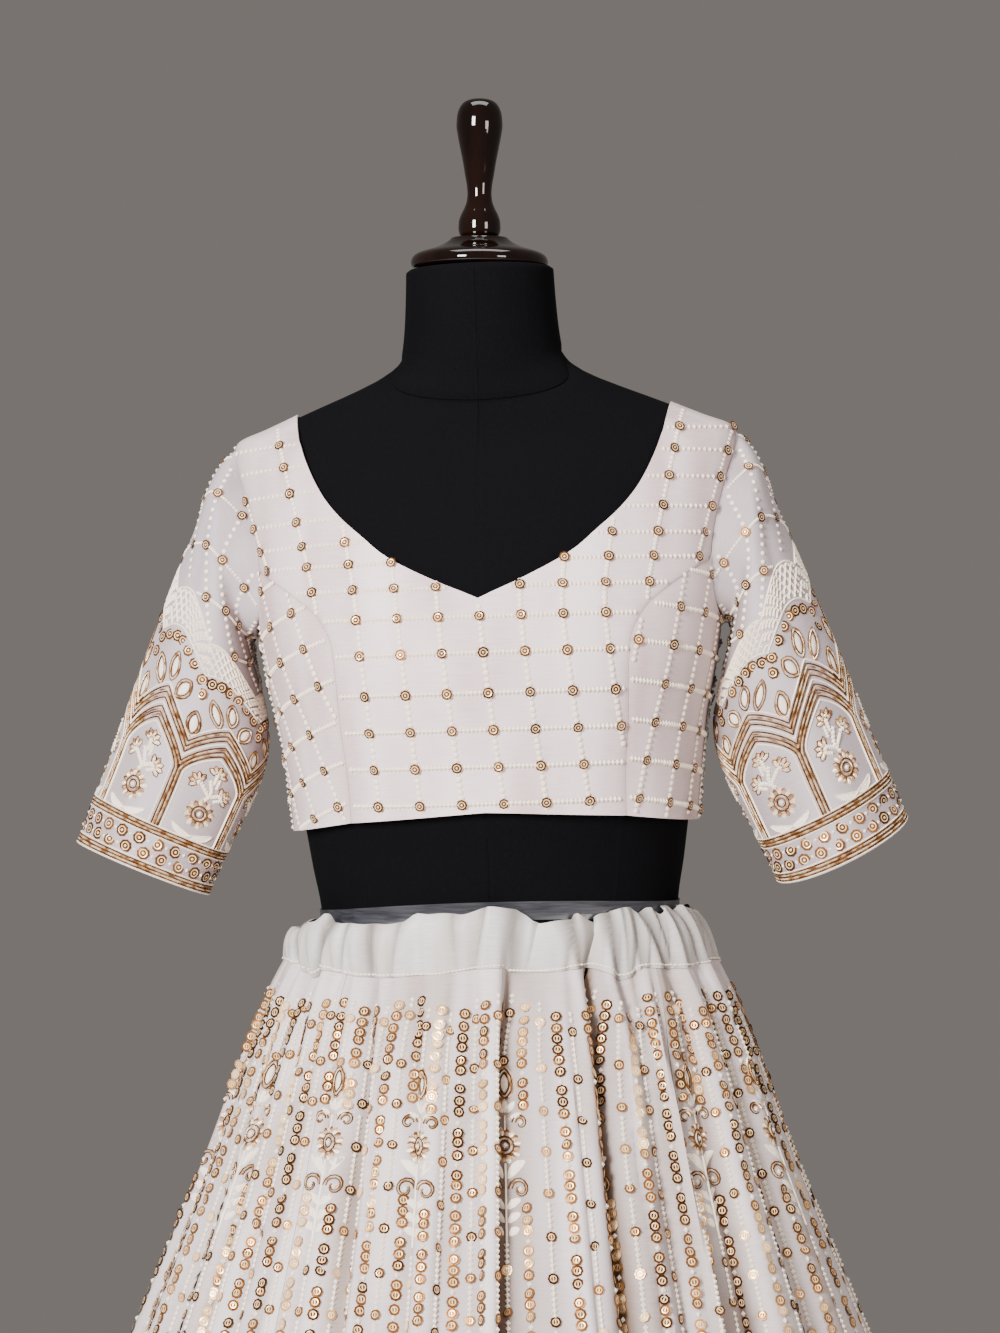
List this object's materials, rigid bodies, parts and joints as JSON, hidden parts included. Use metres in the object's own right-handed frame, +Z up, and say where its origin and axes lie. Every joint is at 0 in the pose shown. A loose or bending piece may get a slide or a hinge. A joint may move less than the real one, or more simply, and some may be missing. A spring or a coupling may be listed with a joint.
{
  "type": "lehenga choli on a dress form",
  "caption": "Elbow-sleeved V-neck blouse and long gathered embroidered skirt with a drawstring casing, worn by a limbless dress form on a pole and round base.",
  "frame": {"origin": "the middle of the base's underside, on the floor", "axes": "+Z up, -Y towards the front of the garment, +X towards the wearer's left side"},
  "size_m": [1.0397, 0.9966, 1.7077],
  "materials": {
    "choli_georgette": "matte off-white georgette with cream and antique gold embroidery",
    "skirt_georgette": "matte off-white georgette over lining, with cream and antique gold embroidery",
    "casing_satin": "soft satin crepe, off-white",
    "form_jersey": "matte black jersey",
    "tape_satin": "glossy black satin tape",
    "cap_wood": "polished dark stain",
    "stand_metal": "satin black enamel"
  },
  "bodies": {
    "root": {"choli_front_centre": "choli_georgette", "choli_front_side_left": "choli_georgette", "choli_front_side_right": "choli_georgette", "choli_back_left": "choli_georgette", "choli_back_right": "choli_georgette", "choli_sleeve_left": "choli_georgette", "choli_sleeve_right": "choli_georgette", "skirt_casing": "casing_satin", "skirt_kali_1": "skirt_georgette", "skirt_kali_2": "skirt_georgette", "skirt_kali_3": "skirt_georgette", "skirt_kali_4": "skirt_georgette", "skirt_kali_5": "skirt_georgette", "skirt_kali_6": "skirt_georgette", "skirt_kali_7": "skirt_georgette", "skirt_kali_8": "skirt_georgette", "form_torso": "form_jersey", "form_neck": "form_jersey", "waist_tape": "tape_satin", "neck_cap": "cap_wood", "neck_finial": "cap_wood", "pole_socket": "stand_metal", "stand_pole": "stand_metal", "stand_base": "stand_metal"}
  },
  "joints": []
}
